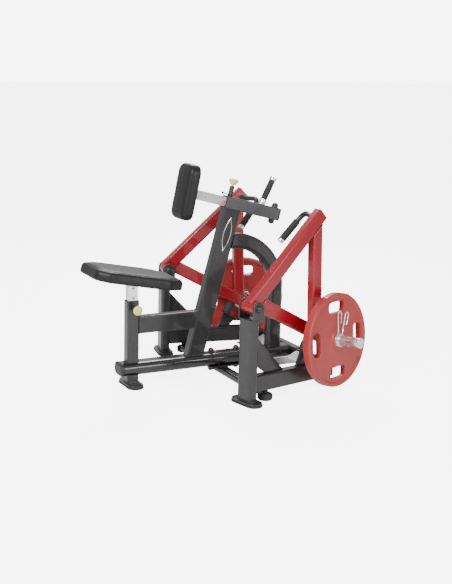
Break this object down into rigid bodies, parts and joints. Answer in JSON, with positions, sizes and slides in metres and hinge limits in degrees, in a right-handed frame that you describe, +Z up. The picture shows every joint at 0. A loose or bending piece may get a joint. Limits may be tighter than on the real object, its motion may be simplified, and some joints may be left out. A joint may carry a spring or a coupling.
{
  "type": "seated row machine",
  "caption": "Plate-loaded seated row machine with adjustable seat, sliding chest pad, leaning mast, bent rear brace, and independent levers with hand grips and loading horns.",
  "frame": {"origin": "on the floor, at the middle of the machine's outline", "axes": "+X is rearward, the way the sitter faces; +Y is the sitter's left; +Z is up"},
  "size_m": [1.2898, 1.2432, 1.0625],
  "materials": {
    "frame_paint": "satin charcoal metallic powder coat",
    "arm_paint": "satin mid-grey metallic powder coat",
    "lever_paint": "glossy red powder coat",
    "plate_paint": "semi-matt red enamel on a cast disc",
    "chrome": "bright chrome plate",
    "black_steel": "semi-gloss black",
    "black_plastic": "fine-textured moulded plastic",
    "rubber": "matt black rubber",
    "vinyl": "grained black upholstery vinyl",
    "plywood": "raw plywood backing board",
    "knob_yellow": "pale yellow moulded plastic",
    "tread_aluminium": "light grey tread plate"
  },
  "bodies": {
    "root": {"base_tube": "frame_paint", "base_tube_cap": "black_plastic", "centre_grip": "rubber", "centre_grip_post": "chrome", "chest_pin_housing": "black_steel", "chest_sleeve": "arm_paint", "foot_tread_left": "tread_aluminium", "foot_tread_right": "tread_aluminium", "front_cross_tube": "frame_paint", "front_foot": "frame_paint", "front_rubber_pad": "rubber", "mast": "frame_paint", "pivot_bolt_left": "black_steel", "pivot_bolt_right": "black_steel", "pivot_bracket_left": "frame_paint", "pivot_bracket_right": "frame_paint", "rear_arch": "frame_paint", "rear_cross_tube": "frame_paint", "rear_foot_left": "rubber", "rear_foot_right": "rubber", "rubber_pad_left": "rubber", "rubber_pad_right": "rubber", "seat_pin_housing": "black_steel", "seat_post": "frame_paint", "seat_rail": "frame_paint", "side_post_left": "frame_paint", "side_post_right": "frame_paint", "side_rail_left": "frame_paint", "side_rail_right": "frame_paint", "sleeve_cap": "black_plastic", "sleeve_stop_bolt": "black_plastic", "stop_bumper_left": "rubber", "stop_bumper_right": "rubber"},
    "seat": {"seat_stem": "chrome", "seat_board": "plywood", "seat_cushion": "vinyl"},
    "seat_pin": {"seat_pin": "knob_yellow"},
    "chest": {"chest_tube": "chrome", "chest_board": "plywood", "chest_pad": "vinyl"},
    "chest_pin": {"chest_pin": "knob_yellow"},
    "clamp_lever": {"clamp_lever": "black_steel"},
    "lever_right": {"lever_bush_right": "black_plastic", "lever_arm_right": "lever_paint", "lever_link_right": "lever_paint", "lever_upright_right": "lever_paint", "handle_tube_right": "black_steel", "hand_grip_right": "rubber", "plate_horn_right": "chrome"},
    "plate_right": {"weight_plate_right": "plate_paint"},
    "clip_right": {"spring_clip_right": "chrome"},
    "lever_left": {"lever_bush_left": "black_plastic", "lever_arm_left": "lever_paint", "lever_link_left": "lever_paint", "lever_upright_left": "lever_paint", "handle_tube_left": "black_steel", "hand_grip_left": "rubber", "plate_horn_left": "chrome"},
    "plate_left": {"weight_plate_left": "plate_paint"},
    "clip_left": {"spring_clip_left": "chrome"}
  },
  "joints": [
    {"name": "seat_height", "type": "slide", "parent": "root", "child": "seat", "axis": [0, 0, 1], "range_m": [-0.048, 0.144]},
    {"name": "seat_pin_pull", "type": "slide", "parent": "root", "child": "seat_pin", "axis": [0, -1, 0], "range_m": [0, 0.012], "stiffness_N_per_m": 1500, "springref_m": -0.004},
    {"name": "chest_pad_slide", "type": "slide", "parent": "root", "child": "chest", "axis": [-0.9675, 0, 0.2529], "range_m": [-0.075, 0.05]},
    {"name": "chest_pin_pull", "type": "slide", "parent": "root", "child": "chest_pin", "axis": [0.2529, 0, 0.9675], "range_m": [0, 0.012], "stiffness_N_per_m": 1500, "springref_m": -0.004},
    {"name": "clamp_turn", "type": "hinge", "parent": "root", "child": "clamp_lever", "pos_m": [0.0825, -0.019, 0.89849], "axis": [0.2529, 0, 0.9675], "range_deg": [-60, 60]},
    {"name": "lever_swing_right", "type": "hinge", "parent": "root", "child": "lever_right", "pos_m": [-0.0259, -0.464, 0.458], "axis": [0.199, -0.98, 0], "range_deg": [0, 50]},
    {"name": "lever_swing_left", "type": "hinge", "parent": "root", "child": "lever_left", "pos_m": [-0.0259, 0.464, 0.458], "axis": [-0.199, -0.98, 0], "range_deg": [0, 50]},
    {"name": "plate_spin_right", "type": "hinge", "parent": "lever_right", "child": "plate_right", "pos_m": [0.42912, -0.47363, 0.261], "axis": [0.3466, -0.9345, 0.0811], "continuous": true},
    {"name": "clip_slide_right", "type": "slide", "parent": "lever_right", "child": "clip_right", "axis": [0.3466, -0.9345, 0.0811], "range_m": [0, 0.1]},
    {"name": "plate_spin_left", "type": "hinge", "parent": "lever_left", "child": "plate_left", "pos_m": [0.42912, 0.47363, 0.261], "axis": [0.3466, 0.9345, 0.0811], "continuous": true},
    {"name": "clip_slide_left", "type": "slide", "parent": "lever_left", "child": "clip_left", "axis": [0.3466, 0.9345, 0.0811], "range_m": [0, 0.1]}
  ]
}
